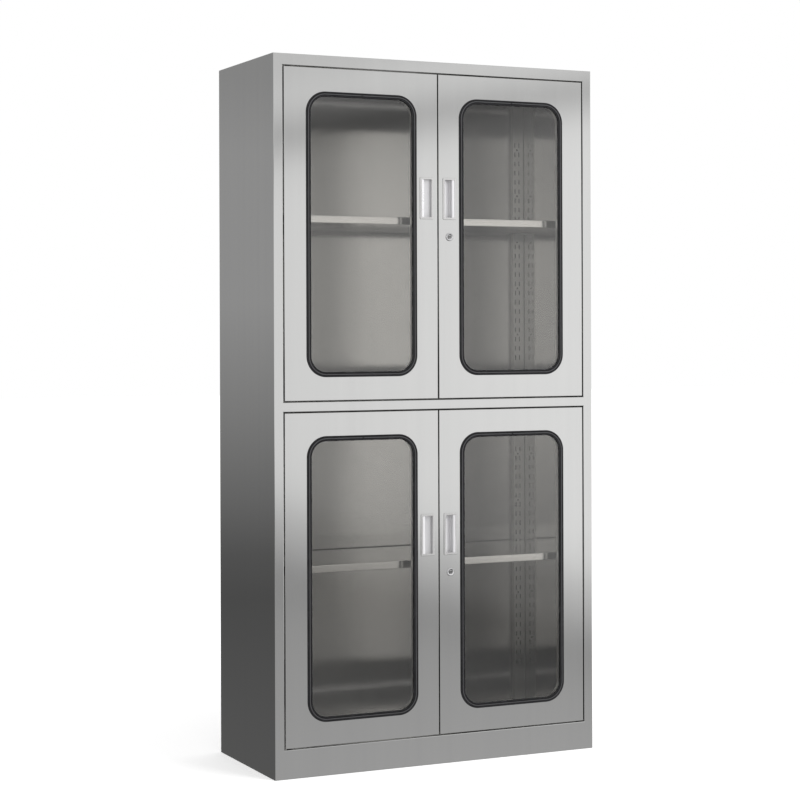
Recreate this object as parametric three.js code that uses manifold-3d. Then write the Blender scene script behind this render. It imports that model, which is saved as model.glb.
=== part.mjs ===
// Glass-fronted medical cabinet in folded sheet steel. An upper and a lower compartment are each closed
// by a pair of glazed doors on top and bottom pivots, and each holds a shelf clipped into slotted columns.
// Millimetres, +Z up, the front faces -Y, origin on the floor under the middle of the cabinet.

import * as THREE from 'three';
import { mergeVertices } from 'three/addons/utils/BufferGeometryUtils.js';
import Module from 'manifold-3d';

const wasm = await Module();
wasm.setup();

// Overall size of the case
const WIDTH = 900;
const DEPTH = 400;
const HEIGHT = 1800;

// Sheet and clearances
const SHEET = 1;
const BEND_INSIDE = 1; // inside radius of a fold
const FIT = 0.3; // gap between seated pieces, and of a pin in its hole

// Front frame
const STILE = 25; // face width of the posts at the sides
const STILE_DEPTH = 28; // how far a stile's return runs back
const TOP_RAIL = 28.5;
const MID_RAIL = 24;
const PLINTH = 72.5;
const RAIL_RETURN = 40; // depth of the flange behind the top and middle rails
const PLINTH_RETURN = 25; // depth of the flange on the floor behind the plinth
const REAR_LIP = 15; // width of the flange round the back panel

// Slotted columns, clips and shelves
const COLUMN_WIDTH = 34;
const COLUMN_DEPTH = 15;
const SLOT_WIDTH = 3;
const SLOT_HEIGHT = 13;
const SLOT_PITCH = 26;
const SLOT_ROWS = 24; // in each compartment
const SLOT_INSET = 6.5; // first row of slots from the rear column's inner edge
const SLOT_SPREAD = 12.5; // between the two rows of a rear column
const LOWER_FIRST_SLOT = 106.5; // lowest slot above the lower compartment's floor
const UPPER_FIRST_SLOT = 101; // lowest slot above the upper compartment's floor
const LOWER_SHELF_SLOT = 12; // slots below the one that holds the lower shelf
const UPPER_SHELF_SLOT = 13;
const CLIP_SHEET = 1.5;
const CLIP_LEDGE = 14;
const CLIP_RISE = 10.5; // top of the ledge above the middle of its slot
const CLIP_DROP = 12; // foot of the clip below the middle of its slot
const HOOK_NECK = 6;
const HOOK_DROP = 4.5;
const SHELF_LIP = 19;
const SHELF_RETURN = 12;
const SHELF_END_GAP = 1.5; // between a shelf's end and the side panel

// Doors
const DOOR_GAP = 3;
const DOOR_THICKNESS = 20;
const PIVOT_INSET = 12; // pivot axis from the door's hinge edge
const PIVOT_SETBACK = 7; // pivot axis behind the door's face
const PIN_RADIUS = 4;
const PIN_COLLAR = 1.5; // how far the collar and the head stand out round the pin
const PIN_HEAD = 3;
const PIN_REACH = 8; // how far a pin enters the rail

// Glazing
const SEAL_MARGIN = 58.5; // door's edge to the seal
const SEAL_RADIUS = 53; // outer corners of the seal
const SEAL_WIDTH = 13;
const SEAL_PROUD = 2.5;
const SEAL_COVER = 6; // overlap of the seal on the steel
const SEAL_WEB = 2; // rubber between the steel's edge and the glass
const SEAL_LIP = 2; // thickness of the lips behind the steel and behind the glass
const GLASS = 4;
const COLLAR_INSET = 10; // liner's window collar from the seal's outer edge

// Flush pull handles
const HANDLE_WIDTH = 38;
const HANDLE_HEIGHT = 107;
const HANDLE_PROUD = 1.8;
const HANDLE_RADIUS = 3;
const HANDLE_RIM = 5.5;
const HANDLE_WALL = 1.2;
const HANDLE_RECESS = 14; // depth of the finger cup behind the door's face
const HANDLE_LIP = 6; // width of the lip that slopes in from the hinge side
const HANDLE_LIP_DROP = 2; // depth of the lip's edge behind the door's face
const HANDLE_RAMP = 4; // rise of the cup's floor towards the free side
const HANDLE_INSET = 31; // middle of the handle from the door's free edge
const HANDLE_RISE = 513; // middle of the handle above the door's bottom edge

// Cam locks on the right doors
const LOCK_INSET = 30.5; // lock axis from the door's free edge
const LOCK_DROP = 98; // lock axis below the middle of the handle
const LOCK_FLANGE_RADIUS = 10.5;
const LOCK_PROUD = 3;
const LOCK_BODY_RADIUS = 8;
const PLUG_RADIUS = 5.5;
const TAIL_RADIUS = 3;
const NUT_RADIUS = 12;
const NUT_THICKNESS = 3;
const NUT_SIDES = 6;
const LOCK_END = 1; // barrel beyond the nut
const CAM_SHEET = 2;
const CAM_WIDTH = 14;
const CAM_GRIP = 12; // reach of the cam behind the other door
const KEY_SLOT_LENGTH = 8.5;
const KEY_SLOT_WIDTH = 2.4;
const KEY_SLOT_DEPTH = 8;

// Slide bolts on the left doors
const BOLT_INSET = 31; // bolt axis from the door's free edge
const BOLT_RADIUS = 3.5;
const BOLT_TRAVEL = 12;
const BOLT_SINK = 1; // top of the drawn bolt below the door's top edge
const GUIDE_WALL = 3;
const GUIDE_HEIGHT = 26;
const GUIDE_DROP = 12; // top of the guide below the door's top edge
const KNOB_RADIUS = 3;
const KNOB_LENGTH = 8;
const KNOB_GAP = 2; // between the raised knob and the guide

// Facets
const ROUND_STEPS = 12;
const BEND_CURVE = 1; // curve divisions of a fold, two facets each
const CORNER_CURVE = 2; // curve divisions of a window corner, two facets each

// Values worked out from the sizes above
const LEFT = -1;
const RIGHT = 1;
const PAST = 5; // overrun of a cutting tool
const proud = Math.max(LOCK_PROUD, SEAL_PROUD, HANDLE_PROUD);
const frontY = (proud - DEPTH) / 2;
const bendOutside = BEND_INSIDE + SHEET;
const halfWidth = WIDTH / 2;
const innerHalf = halfWidth - SHEET - FIT;
const backInner = DEPTH - 2 * SHEET - FIT;
const openingHeight = (HEIGHT - TOP_RAIL - MID_RAIL - PLINTH) / 2;
const lowerFloor = PLINTH;
const lowerCeiling = lowerFloor + openingHeight;
const upperFloor = lowerCeiling + MID_RAIL;
const upperCeiling = upperFloor + openingHeight;
const columnTop = HEIGHT - SHEET - FIT;
const frontColumnBack = STILE_DEPTH + FIT + COLUMN_DEPTH;
const rearColumnFace = backInner - FIT - COLUMN_DEPTH;
const frontColumnWidth = STILE - SHEET - FIT;
const clipFoot = FIT + CLIP_SHEET;
const shelfFront = frontColumnBack + clipFoot + FIT;
const shelfBack = rearColumnFace - clipFoot - FIT;
const doorWidth = (WIDTH - 2 * STILE - 3 * DOOR_GAP) / 2;
const doorHeight = openingHeight - 2 * DOOR_GAP;
const sealHalfWidth = doorWidth / 2 - SEAL_MARGIN;
const sealHalfHeight = doorHeight / 2 - SEAL_MARGIN;
const webInset = SEAL_COVER + FIT;
const glassGroove = webInset + SEAL_WEB;
const glassInset = glassGroove + FIT;
const glassBack = FIT + GLASS;
const sealBack = glassBack + FIT + SEAL_LIP;
const lockRise = HANDLE_RISE - LOCK_DROP;
const nutBack = DOOR_THICKNESS + NUT_THICKNESS;
const barrelEnd = nutBack + LOCK_END;
const camFront = barrelEnd + FIT;
const camLength = LOCK_INSET + DOOR_GAP + CAM_GRIP;
const linerFront = PIVOT_SETBACK + PIN_RADIUS + PIN_COLLAR + FIT;
const boltY = DOOR_THICKNESS + GUIDE_WALL + BOLT_RADIUS + FIT;
const doorCentreX = (DOOR_GAP + doorWidth) / 2;

// Finishes
function finish(color, roughness, metalness) {
  return new THREE.MeshStandardMaterial({ color, roughness, metalness });
}
const brushedSteel = finish(0xc4c4c2, 0.38, 1);
const galvanised = finish(0xa9abac, 0.5, 1);
const nickel = finish(0xd2d2d4, 0.25, 1);
const chrome = finish(0xdcdcdc, 0.12, 1);
const rubber = finish(0x1f1f20, 0.7, 0);
const clearGlass = finish(0xd9e2de, 0.05, 0);

// Solids from geometries, and geometries from solids
function solid(geometry) {
  const plain = geometry.index ? geometry.toNonIndexed() : geometry;
  plain.deleteAttribute('normal');
  plain.deleteAttribute('uv');
  const merged = mergeVertices(plain);
  const index = merged.index.array;
  const triangles = [];
  for (let i = 0; i < index.length; i += 3) {
    const [a, b, c] = index.slice(i, i + 3);
    if (a !== b && b !== c && c !== a) triangles.push(a, b, c);
  }
  const mesh = new wasm.Mesh({
    numProp: 3,
    vertProperties: new Float32Array(merged.attributes.position.array),
    triVerts: new Uint32Array(triangles),
  });
  return new wasm.Manifold(mesh);
}

function geometryOf(body) {
  const mesh = body.getMesh();
  const geometry = new THREE.BufferGeometry();
  geometry.setAttribute('position', new THREE.BufferAttribute(mesh.vertProperties, 3));
  geometry.setIndex(new THREE.BufferAttribute(mesh.triVerts, 1));
  geometry.computeVertexNormals();
  return geometry;
}

function piece(group, name, body, material) {
  const mesh = new THREE.Mesh(geometryOf(body), material);
  mesh.name = name;
  group.add(mesh);
}

function join(first, ...others) {
  return others.reduce((sum, other) => sum.add(other), first);
}

function cut(body, ...tools) {
  return tools.reduce((rest, tool) => rest.subtract(tool), body);
}

// A box between two X, two Y and two Z values, in any order
function block([x0, x1], [y0, y1], [z0, z1]) {
  const geometry = new THREE.BoxGeometry(Math.abs(x1 - x0), Math.abs(y1 - y0), Math.abs(z1 - z0));
  return solid(geometry.translate((x0 + x1) / 2, (y0 + y1) / 2, (z0 + z1) / 2));
}

// An upright round bar
function rodZ(radius, [x, y], [z0, z1], steps = ROUND_STEPS) {
  const geometry = new THREE.CylinderGeometry(radius, radius, z1 - z0, steps);
  return solid(geometry.rotateX(Math.PI / 2).translate(x, y, (z0 + z1) / 2));
}

// A round bar that runs front to back
function rodY(radius, [x, z], [y0, y1], steps = ROUND_STEPS) {
  const geometry = new THREE.CylinderGeometry(radius, radius, y1 - y0, steps);
  return solid(geometry.translate(x, (y0 + y1) / 2, z));
}

// A turned piece round the Y axis, from [radius, y] points
function turnedY(points, x, z) {
  const profile = points.map(([radius, y]) => new THREE.Vector2(radius, y));
  return solid(new THREE.LatheGeometry(profile, ROUND_STEPS).translate(x, 0, z));
}

// A turned piece round an upright axis, from [radius, z] points
function turnedZ(points, [x, y], z) {
  const profile = points.map(([radius, height]) => new THREE.Vector2(radius, height));
  return solid(new THREE.LatheGeometry(profile, ROUND_STEPS).rotateX(Math.PI / 2).translate(x, y, z));
}

// An outline in X and Z, filled from one Y to another
function slabY(shape, [y0, y1], curveSegments) {
  const options = { depth: y1 - y0, bevelEnabled: false, curveSegments };
  const geometry = new THREE.ExtrudeGeometry(shape, options);
  return solid(geometry.rotateX(Math.PI / 2).translate(0, y1, 0));
}

// An outline in X and Y, filled from one Z to another
function slabZ(shape, [z0, z1]) {
  const options = { depth: z1 - z0, bevelEnabled: false, curveSegments: BEND_CURVE };
  return solid(new THREE.ExtrudeGeometry(shape, options).translate(0, 0, z0));
}

// An outline in Y and Z, filled between the two ends of a width centred on X
function slabX(shape, half) {
  const options = { depth: 2 * half, bevelEnabled: false, curveSegments: BEND_CURVE };
  const turn = new THREE.Matrix4().makeBasis(
    new THREE.Vector3(0, 1, 0),
    new THREE.Vector3(0, 0, 1),
    new THREE.Vector3(1, 0, 0),
  );
  return solid(new THREE.ExtrudeGeometry(shape, options).applyMatrix4(turn).translate(-half, 0, 0));
}

// Section of a folded sheet. The corners are its outside, taken in the order in which every fold turns left.
function foldedSection(corners) {
  const points = corners.map(([a, b]) => new THREE.Vector2(a, b));
  const headings = points.slice(1).map((point, i) => point.clone().sub(points[i]).normalize());
  const left = headings.map((heading) => new THREE.Vector2(-heading.y, heading.x).multiplyScalar(SHEET));
  const folds = headings.slice(1).map((after, i) => {
    const before = headings[i];
    const centre = points[i + 1].clone();
    centre.addScaledVector(before, -bendOutside).addScaledVector(after, bendOutside);
    return { centre, start: Math.atan2(-after.y, -after.x), end: Math.atan2(before.y, before.x) };
  });
  const last = points.length - 1;
  const inner = points[last].clone().add(left[last - 1]);
  const outline = new THREE.Shape();
  outline.moveTo(points[0].x, points[0].y);
  for (const { centre, start, end } of folds) {
    outline.absarc(centre.x, centre.y, bendOutside, start, end, false);
  }
  outline.lineTo(points[last].x, points[last].y);
  outline.lineTo(inner.x, inner.y);
  for (const { centre, start, end } of folds.reverse()) {
    outline.absarc(centre.x, centre.y, BEND_INSIDE, end, start, true);
  }
  outline.lineTo(points[0].x + left[0].x, points[0].y + left[0].y);
  return outline;
}

// Corners given as [distance in from the outside of a side, Y], placed on that side in left-turning order
function onSide(side, corners) {
  const placed = corners.map(([inset, y]) => [side * (halfWidth - inset), y]);
  return side === LEFT ? placed : placed.reverse();
}

// The same box on a side: X measured in from the outside of the side panel
function sideBlock(side, [in0, in1], ySpan, zSpan) {
  return block([side * (halfWidth - in0), side * (halfWidth - in1)], ySpan, zSpan);
}

// An outline in X and Y with straight sides
function polygon(corners) {
  return new THREE.Shape(corners.map(([x, y]) => new THREE.Vector2(x, y)));
}

// Rounded rectangle round the middle of a window, drawn in from the seal's outer edge
function windowOutline(inset, PathKind = THREE.Shape) {
  const x = sealHalfWidth - inset;
  const z = sealHalfHeight - inset;
  const radius = Math.max(SEAL_RADIUS - inset, FIT);
  return roundedOutline(x, z, radius, PathKind);
}

function roundedOutline(x, z, radius, PathKind = THREE.Shape) {
  const quarter = Math.PI / 2;
  const outline = new PathKind();
  outline.moveTo(x, radius - z);
  outline.absarc(x - radius, z - radius, radius, 0, quarter, false);
  outline.absarc(radius - x, z - radius, radius, quarter, 2 * quarter, false);
  outline.absarc(radius - x, radius - z, radius, 2 * quarter, 3 * quarter, false);
  outline.absarc(x - radius, radius - z, radius, 3 * quarter, 4 * quarter, false);
  return outline;
}

// A frame round the window, between two distances in from the seal's outer edge
function windowRing([outer, inner], ySpan) {
  const shape = windowOutline(outer);
  shape.holes.push(windowOutline(inner, THREE.Path));
  return slabY(shape, ySpan, CORNER_CURVE).translate(0, 0, doorHeight / 2);
}

function windowSlab(inset, ySpan) {
  return slabY(windowOutline(inset), ySpan, CORNER_CURVE).translate(0, 0, doorHeight / 2);
}

// Case: folded panels

function sidePanel(side) {
  const corners = onSide(side, [
    [REAR_LIP, DEPTH],
    [0, DEPTH],
    [0, 0],
    [STILE, 0],
    [STILE, STILE_DEPTH],
  ]);
  const panel = slabZ(foldedSection(corners), [0, HEIGHT]);
  const topSheetRoom = [HEIGHT - SHEET - FIT, HEIGHT + PAST];
  return cut(panel, sideBlock(side, [SHEET, halfWidth], [SHEET, DEPTH + PAST], topSheetRoom));
}

function topPanel() {
  const section = foldedSection([
    [DEPTH, HEIGHT - REAR_LIP],
    [DEPTH, HEIGHT],
    [0, HEIGHT],
    [0, upperCeiling],
    [RAIL_RETURN, upperCeiling],
  ]);
  const below = [0, HEIGHT - SHEET];
  let panel = slabX(section, innerHalf);
  for (const side of [LEFT, RIGHT]) {
    const postFace = sideBlock(side, [0, STILE + FIT], [-PAST, SHEET + FIT], [0, HEIGHT + PAST]);
    const post = sideBlock(side, [0, STILE + FIT], [-PAST, RAIL_RETURN + PAST], below);
    const rearLip = sideBlock(side, [0, REAR_LIP + FIT], [backInner, DEPTH + PAST], below);
    panel = cut(panel, postFace, post, rearLip, pivotHole(side, upperCeiling));
  }
  return cut(panel, boltHole(upperCeiling));
}

function midPartition() {
  const section = foldedSection([
    [backInner - FIT, upperFloor],
    [0, upperFloor],
    [0, lowerCeiling],
    [RAIL_RETURN, lowerCeiling],
  ]);
  const everyZ = [0, HEIGHT];
  let panel = slabX(section, innerHalf);
  for (const side of [LEFT, RIGHT]) {
    const frontCorner = sideBlock(side, [0, STILE + FIT], [-PAST, frontColumnBack + FIT], everyZ);
    const columnInner = SHEET + FIT + COLUMN_WIDTH + FIT;
    const rearCorner = sideBlock(side, [0, columnInner], [rearColumnFace - FIT, DEPTH], everyZ);
    const pivots = join(pivotHole(side, lowerCeiling), pivotHole(side, upperFloor));
    panel = cut(panel, frontCorner, rearCorner, pivots);
  }
  return cut(panel, boltHole(lowerCeiling));
}

function bottomPanel() {
  const section = foldedSection([
    [backInner - FIT, lowerFloor],
    [0, lowerFloor],
    [0, 0],
    [PLINTH_RETURN, 0],
  ]);
  let panel = slabX(section, innerHalf);
  for (const side of [LEFT, RIGHT]) {
    const post = sideBlock(side, [0, STILE + FIT], [-PAST, STILE_DEPTH + FIT], [-PAST, HEIGHT]);
    panel = cut(panel, post, pivotHole(side, lowerFloor));
  }
  return panel;
}

function backPanel() {
  const half = halfWidth - bendOutside - FIT;
  return block([-half, half], [backInner, backInner + SHEET], [0, columnTop]);
}

// Hole for a pivot pin through the sheet that meets the doors at one height
function pivotHole(side, z) {
  const x = side * (halfWidth - STILE - DOOR_GAP - PIVOT_INSET);
  return rodZ(PIN_RADIUS + FIT, [x, PIVOT_SETBACK], [z - SHEET - FIT, z + SHEET + FIT]);
}

// Hole for a left door's bolt through the return of the rail above the door
function boltHole(z) {
  const x = LEFT * (DOOR_GAP / 2 + BOLT_INSET);
  return rodZ(BOLT_RADIUS + FIT, [x, boltY], [z - FIT, z + SHEET + FIT]);
}

// Slotted columns, shelves and their clips

function slotHeights() {
  const rows = Array.from({ length: SLOT_ROWS }, (_, row) => row * SLOT_PITCH);
  const lower = rows.map((rise) => lowerFloor + LOWER_FIRST_SLOT + rise);
  const upper = rows.map((rise) => upperFloor + UPPER_FIRST_SLOT + rise);
  return [...lower, ...upper];
}

// Distances of the slot rows in from the outside of the side panel
const rearColumnInner = SHEET + FIT + COLUMN_WIDTH;
const rearSlotRows = [rearColumnInner - SLOT_INSET, rearColumnInner - SLOT_INSET - SLOT_SPREAD];
const frontSlotRows = [SHEET + FIT + frontColumnWidth / 2];

function slotted(body, side, insets, face) {
  const ySpan = [face - SHEET - FIT, face + SHEET + FIT];
  const slots = [];
  for (const z of slotHeights()) {
    for (const inset of insets) {
      const width = [inset - SLOT_WIDTH / 2, inset + SLOT_WIDTH / 2];
      slots.push(sideBlock(side, width, ySpan, [z - SLOT_HEIGHT / 2, z + SLOT_HEIGHT / 2]));
    }
  }
  return body.subtract(wasm.Manifold.union(slots));
}

function rearColumn(side) {
  const back = backInner - FIT;
  const corners = onSide(side, [
    [SHEET + FIT, back],
    [SHEET + FIT, rearColumnFace],
    [rearColumnInner, rearColumnFace],
    [rearColumnInner, back],
  ]);
  const channel = slabZ(foldedSection(corners), [lowerFloor + FIT, columnTop]);
  return slotted(channel, side, rearSlotRows, rearColumnFace);
}

function frontColumn(side) {
  const front = STILE_DEPTH + FIT;
  const corners = onSide(side, [
    [STILE, front],
    [STILE, frontColumnBack],
    [SHEET + FIT, frontColumnBack],
    [SHEET + FIT, front],
  ]);
  const channel = slabZ(foldedSection(corners), [lowerFloor + FIT, columnTop]);
  return slotted(channel, side, frontSlotRows, frontColumnBack);
}

// A clip stands on a column's face and points away from it: back for a front column, forward for a rear one
function shelfClip(side, insets, face, away, slotZ) {
  const outer = SHEET + FIT + bendOutside;
  const inner = (away > 0 ? STILE : rearColumnInner) - bendOutside;
  const at = (distance) => face + away * distance;
  const ledgeTop = slotZ + CLIP_RISE;
  const plate = sideBlock(side, [outer, inner], [at(FIT), at(clipFoot)], [slotZ - CLIP_DROP, ledgeTop]);
  const ledgeZ = [ledgeTop - CLIP_SHEET, ledgeTop];
  const ledge = sideBlock(side, [outer, inner], [at(FIT), at(clipFoot + CLIP_LEDGE)], ledgeZ);
  const hooks = insets.map((inset) => {
    const half = SLOT_WIDTH / 2 - FIT;
    const across = [inset - half, inset + half];
    const neckFoot = slotZ - SLOT_HEIGHT / 2 + FIT;
    const neckTop = neckFoot + HOOK_NECK;
    const behind = -SHEET - FIT;
    const neck = sideBlock(side, across, [at(clipFoot), at(behind - CLIP_SHEET)], [neckFoot, neckTop]);
    const hookY = [at(behind), at(behind - CLIP_SHEET)];
    const hook = sideBlock(side, across, hookY, [neckFoot - HOOK_DROP, neckTop]);
    return join(neck, hook);
  });
  return join(plate, ledge, ...hooks);
}

function shelf(slotZ) {
  const bottom = slotZ + CLIP_RISE + FIT;
  const top = bottom + SHELF_LIP;
  const half = halfWidth - SHEET - SHELF_END_GAP;
  const pan = block([-half, half], [shelfFront, shelfBack], [bottom, top]);
  const hollow = block(
    [SHEET - half, half - SHEET],
    [shelfFront + SHEET, shelfBack - SHEET],
    [bottom + SHEET, top - SHEET],
  );
  const mouth = block(
    [SHEET - half, half - SHEET],
    [shelfFront + SHELF_RETURN, shelfBack - SHELF_RETURN],
    [bottom - PAST, top - SHEET],
  );
  return cut(pan, hollow, mouth);
}

// Doors. A door's own frame has its middle at X 0, its face at Y 0 and its bottom edge at Z 0.
// free is the side on which its free edge lies.

function doorSkin(free, locked) {
  const half = doorWidth / 2;
  const pan = block([-half, half], [0, DOOR_THICKNESS], [0, doorHeight]);
  const hollow = block(
    [SHEET - half, half - SHEET],
    [SHEET, DOOR_THICKNESS + PAST],
    [SHEET, doorHeight - SHEET],
  );
  const through = [-PAST, SHEET + PAST];
  const handleX = free * (half - HANDLE_INSET);
  const cupHalf = HANDLE_WIDTH / 2 - HANDLE_RIM + HANDLE_WALL + FIT;
  const cupRise = HANDLE_HEIGHT / 2 - HANDLE_RIM + HANDLE_WALL + FIT;
  const cupX = [handleX - cupHalf, handleX + cupHalf];
  const handleHole = block(cupX, through, [HANDLE_RISE - cupRise, HANDLE_RISE + cupRise]);
  const hinge = [-free * (half - PIVOT_INSET), PIVOT_SETBACK];
  const pivots = rodZ(PIN_RADIUS + FIT, hinge, [-PAST, doorHeight + PAST]);
  const skin = cut(pan, hollow, windowSlab(SEAL_COVER, through), handleHole, pivots);
  return locked ? cut(skin, lockHole(free, through)) : skin;
}

function doorLiner(free, locked) {
  const half = doorWidth / 2 - SHEET - FIT;
  const foot = SHEET + FIT;
  const head = doorHeight - SHEET - FIT;
  const inside = DOOR_THICKNESS - SHEET;
  const pan = block([-half, half], [linerFront, DOOR_THICKNESS], [foot, head]);
  const hollow = block([SHEET - half, half - SHEET], [0, inside], [foot + SHEET, head - SHEET]);
  const collarFront = sealBack + FIT;
  const collar = windowSlab(COLLAR_INSET, [collarFront, DOOR_THICKNESS]);
  const opening = windowSlab(COLLAR_INSET + SHEET, [0, DOOR_THICKNESS + PAST]);
  const liner = cut(join(cut(pan, hollow), collar), opening);
  return locked ? cut(liner, lockHole(free, [inside - FIT, DOOR_THICKNESS + PAST])) : liner;
}

function lockHole(free, ySpan) {
  const x = free * (doorWidth / 2 - LOCK_INSET);
  return rodY(LOCK_BODY_RADIUS + FIT, [x, lockRise], ySpan);
}

function glassPane() {
  return windowSlab(glassInset, [FIT, glassBack]);
}

// The rubber runs over the steel and the glass in front, between them, and behind both
function seal() {
  const bead = windowRing([0, SEAL_WIDTH], [-SEAL_PROUD, 0]);
  const web = windowRing([webInset, glassGroove], [-SEAL_PROUD, sealBack]);
  const behindSteel = windowRing([SEAL_LIP, glassGroove], [SHEET + FIT, SHEET + FIT + SEAL_LIP]);
  const behindGlass = windowRing([webInset, SEAL_WIDTH], [glassBack + FIT, sealBack]);
  return join(bead, web, behindSteel, behindGlass);
}

// A rim round a finger cup. A lip slopes into the cup from the hinge side, and the floor ramps down to it.
function flushHandle(free) {
  const x = free * (doorWidth / 2 - HANDLE_INSET);
  const outline = roundedOutline(HANDLE_WIDTH / 2, HANDLE_HEIGHT / 2, HANDLE_RADIUS);
  const rim = slabY(outline, [-HANDLE_PROUD, 0], BEND_CURVE).translate(x, 0, HANDLE_RISE);
  const half = HANDLE_WIDTH / 2 - HANDLE_RIM;
  const rise = HANDLE_HEIGHT / 2 - HANDLE_RIM;
  const zSpan = (wall) => [HANDLE_RISE - rise - wall, HANDLE_RISE + rise + wall];
  const box = (wall, ySpan) => block([x - half - wall, x + half + wall], ySpan, zSpan(wall));
  const cup = box(HANDLE_WALL, [-HANDLE_PROUD / 2, HANDLE_RECESS + HANDLE_WALL]);
  const shell = cut(join(rim, cup), box(0, [-HANDLE_PROUD - PAST, HANDLE_RECESS]));
  const into = HANDLE_WALL / 2;
  const hingeSide = x - free * half;
  const freeSide = x + free * half;
  const lipEdge = hingeSide + free * HANDLE_LIP;
  const lip = polygon([
    [hingeSide - free * into, -into],
    [hingeSide, -into],
    [lipEdge, HANDLE_LIP_DROP],
    [lipEdge, HANDLE_LIP_DROP + HANDLE_WALL],
    [hingeSide, HANDLE_WALL - into],
    [hingeSide - free * into, HANDLE_WALL - into],
  ]);
  const ramp = polygon([
    [lipEdge, HANDLE_RECESS],
    [freeSide, HANDLE_RECESS - HANDLE_RAMP],
    [freeSide + free * into, HANDLE_RECESS - HANDLE_RAMP],
    [freeSide + free * into, HANDLE_RECESS + into],
    [lipEdge, HANDLE_RECESS + into],
  ]);
  return join(shell, slabZ(lip, zSpan(into)), slabZ(ramp, zSpan(into)));
}

// A pivot pin at a door's edge: head inside the door, collar in the gap, point in the rail
function pivot(free, edge, outward) {
  const collar = PIN_RADIUS + PIN_COLLAR;
  const headTop = -SHEET - FIT;
  const profile = [
    [0, headTop - PIN_HEAD],
    [collar, headTop - PIN_HEAD],
    [collar, headTop],
    [PIN_RADIUS, headTop],
    [PIN_RADIUS, FIT / 2],
    [collar, FIT / 2],
    [collar, DOOR_GAP - FIT / 2],
    [PIN_RADIUS, DOOR_GAP - FIT / 2],
    [PIN_RADIUS, DOOR_GAP + PIN_REACH],
    [0, DOOR_GAP + PIN_REACH],
  ];
  const points = profile.map(([radius, rise]) => [radius, outward * rise]);
  const upwards = outward > 0 ? points : points.reverse();
  return turnedZ(upwards, [-free * (doorWidth / 2 - PIVOT_INSET), PIVOT_SETBACK], edge);
}

// Cam locks

function lockBarrel(x) {
  const bore = PLUG_RADIUS + FIT;
  const profile = [
    [bore, -LOCK_PROUD],
    [LOCK_FLANGE_RADIUS, -LOCK_PROUD],
    [LOCK_FLANGE_RADIUS, 0],
    [LOCK_BODY_RADIUS, 0],
    [LOCK_BODY_RADIUS, barrelEnd],
    [bore, barrelEnd],
    [bore, -LOCK_PROUD],
  ];
  return turnedY(profile, x, lockRise);
}

function lockPlug(x) {
  const profile = [
    [0, -LOCK_PROUD],
    [PLUG_RADIUS, -LOCK_PROUD],
    [PLUG_RADIUS, barrelEnd],
    [TAIL_RADIUS, barrelEnd],
    [TAIL_RADIUS, camFront + CAM_SHEET + FIT],
    [0, camFront + CAM_SHEET + FIT],
  ];
  const keySlot = block(
    [x - KEY_SLOT_LENGTH / 2, x + KEY_SLOT_LENGTH / 2],
    [-LOCK_PROUD - PAST, KEY_SLOT_DEPTH - LOCK_PROUD],
    [lockRise - KEY_SLOT_WIDTH / 2, lockRise + KEY_SLOT_WIDTH / 2],
  );
  return cut(turnedY(profile, x, lockRise), keySlot);
}

function lockNut(x) {
  const nut = rodY(NUT_RADIUS, [x, lockRise], [DOOR_THICKNESS, nutBack], NUT_SIDES);
  const bore = rodY(LOCK_BODY_RADIUS + FIT, [x, lockRise], [DOOR_THICKNESS - PAST, nutBack + PAST]);
  return cut(nut, bore);
}

// The cam hangs straight down while the lock is open
function lockCam(x) {
  const ySpan = [camFront, camFront + CAM_SHEET];
  const half = CAM_WIDTH / 2;
  const arm = block([x - half, x + half], ySpan, [lockRise - camLength, lockRise]);
  const eye = rodY(half, [x, lockRise], ySpan);
  const bore = rodY(TAIL_RADIUS + FIT, [x, lockRise], [camFront - PAST, camFront + PAST]);
  return cut(join(arm, eye), bore);
}

// Slide bolts

const guideTop = doorHeight - GUIDE_DROP;
const guideFoot = guideTop - GUIDE_HEIGHT;
const knobZ = guideFoot - KNOB_GAP - BOLT_TRAVEL - KNOB_RADIUS;

function boltGuide(x) {
  const half = BOLT_RADIUS + FIT + GUIDE_WALL;
  const body = block([x - half, x + half], [DOOR_THICKNESS, boltY + half], [guideFoot, guideTop]);
  return cut(body, rodZ(BOLT_RADIUS + FIT, [x, boltY], [guideFoot - PAST, guideTop + PAST]));
}

function bolt(x) {
  const bar = rodZ(BOLT_RADIUS, [x, boltY], [knobZ - KNOB_RADIUS - FIT, doorHeight - BOLT_SINK]);
  return join(bar, rodY(KNOB_RADIUS, [x, knobZ], [boltY, boltY + BOLT_RADIUS + KNOB_LENGTH]));
}

// Assembly

const sideName = { [LEFT]: 'left', [RIGHT]: 'right' };
const cabinet = new THREE.Group();
cabinet.position.y = frontY;

for (const side of [LEFT, RIGHT]) {
  piece(cabinet, `${sideName[side]}_side_panel`, sidePanel(side), brushedSteel);
  piece(cabinet, `rear_${sideName[side]}_column`, rearColumn(side), brushedSteel);
  piece(cabinet, `front_${sideName[side]}_column`, frontColumn(side), brushedSteel);
}
piece(cabinet, 'back_panel', backPanel(), brushedSteel);
piece(cabinet, 'top_panel', topPanel(), brushedSteel);
piece(cabinet, 'mid_partition', midPartition(), brushedSteel);
piece(cabinet, 'bottom_panel', bottomPanel(), brushedSteel);

const levels = [
  {
    name: 'upper',
    floor: upperFloor,
    shelfSlot: upperFloor + UPPER_FIRST_SLOT + UPPER_SHELF_SLOT * SLOT_PITCH,
  },
  {
    name: 'lower',
    floor: lowerFloor,
    shelfSlot: lowerFloor + LOWER_FIRST_SLOT + LOWER_SHELF_SLOT * SLOT_PITCH,
  },
];

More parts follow.
